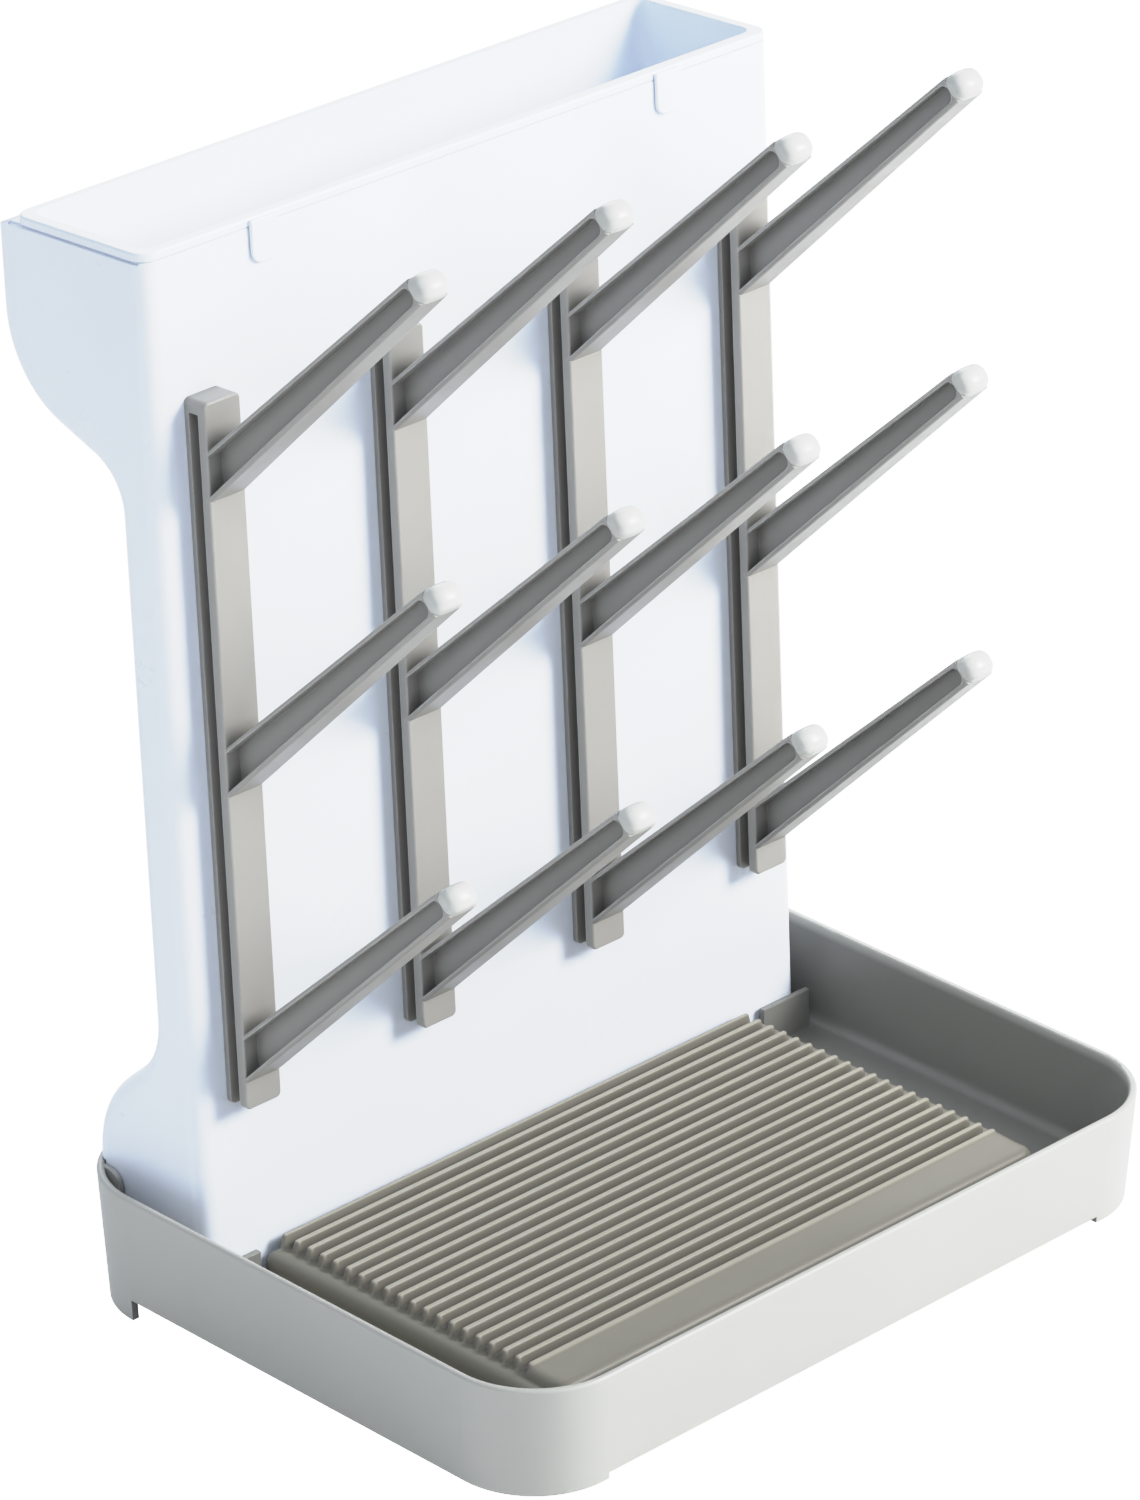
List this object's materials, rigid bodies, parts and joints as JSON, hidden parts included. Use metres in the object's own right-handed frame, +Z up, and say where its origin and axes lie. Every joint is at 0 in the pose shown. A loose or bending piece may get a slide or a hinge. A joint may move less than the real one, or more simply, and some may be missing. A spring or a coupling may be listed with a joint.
{
  "type": "bottle drying rack",
  "caption": "Upright rack on a low tray: slanting capped pegs on vertical rails hold bottles upside down over a ribbed drip plate, below a storage bin with a lift-out liner.",
  "frame": {"origin": "on the ground, under the middle of the whole rack's footprint", "axes": "+Z up, +X along the rack to its right-hand end, -Y towards the front where the pegs point, +Y towards the back"},
  "size_m": [0.3078, 0.2578, 0.4046],
  "materials": {
    "tray": "satin warm light grey",
    "drip_plate": "satin warm taupe grey",
    "tower": "satin cool white",
    "liner": "satin cool white",
    "rail": "satin light grey",
    "tip_cap": "soft off-white",
    "foot_pad": "soft grey"
  },
  "bodies": {
    "base": {"tray": "tray", "foot_pad_1": "foot_pad", "foot_pad_2": "foot_pad", "foot_pad_3": "foot_pad", "foot_pad_4": "foot_pad"},
    "plate": {"drip_plate": "drip_plate"},
    "tower": {"tower_shell": "tower"},
    "liner": {"bin_liner": "liner"},
    "rail_1": {"rail_1": "rail", "tip_cap_1_1": "tip_cap", "tip_cap_1_2": "tip_cap", "tip_cap_1_3": "tip_cap"},
    "rail_2": {"rail_2": "rail", "tip_cap_2_1": "tip_cap", "tip_cap_2_2": "tip_cap", "tip_cap_2_3": "tip_cap"},
    "rail_3": {"rail_3": "rail", "tip_cap_3_1": "tip_cap", "tip_cap_3_2": "tip_cap", "tip_cap_3_3": "tip_cap"},
    "rail_4": {"rail_4": "rail", "tip_cap_4_1": "tip_cap", "tip_cap_4_2": "tip_cap", "tip_cap_4_3": "tip_cap"}
  },
  "joints": [
    {"name": "plate_lift", "type": "slide", "parent": "base", "child": "plate", "axis": [0, 0, 1], "range_m": [0, 0.045]},
    {"name": "tower_lift", "type": "slide", "parent": "base", "child": "tower", "axis": [0, 0, 1], "range_m": [0, 0.045]},
    {"name": "liner_lift", "type": "slide", "parent": "tower", "child": "liner", "axis": [0, 0.0558, 0.9984], "range_m": [0, 0.078]},
    {"name": "rail_1_pull", "type": "slide", "parent": "tower", "child": "rail_1", "axis": [0, -0.9984, 0.0558], "range_m": [0, 0.016]},
    {"name": "rail_2_pull", "type": "slide", "parent": "tower", "child": "rail_2", "axis": [0, -0.9984, 0.0558], "range_m": [0, 0.016]},
    {"name": "rail_3_pull", "type": "slide", "parent": "tower", "child": "rail_3", "axis": [0, -0.9984, 0.0558], "range_m": [0, 0.016]},
    {"name": "rail_4_pull", "type": "slide", "parent": "tower", "child": "rail_4", "axis": [0, -0.9984, 0.0558], "range_m": [0, 0.016]}
  ]
}
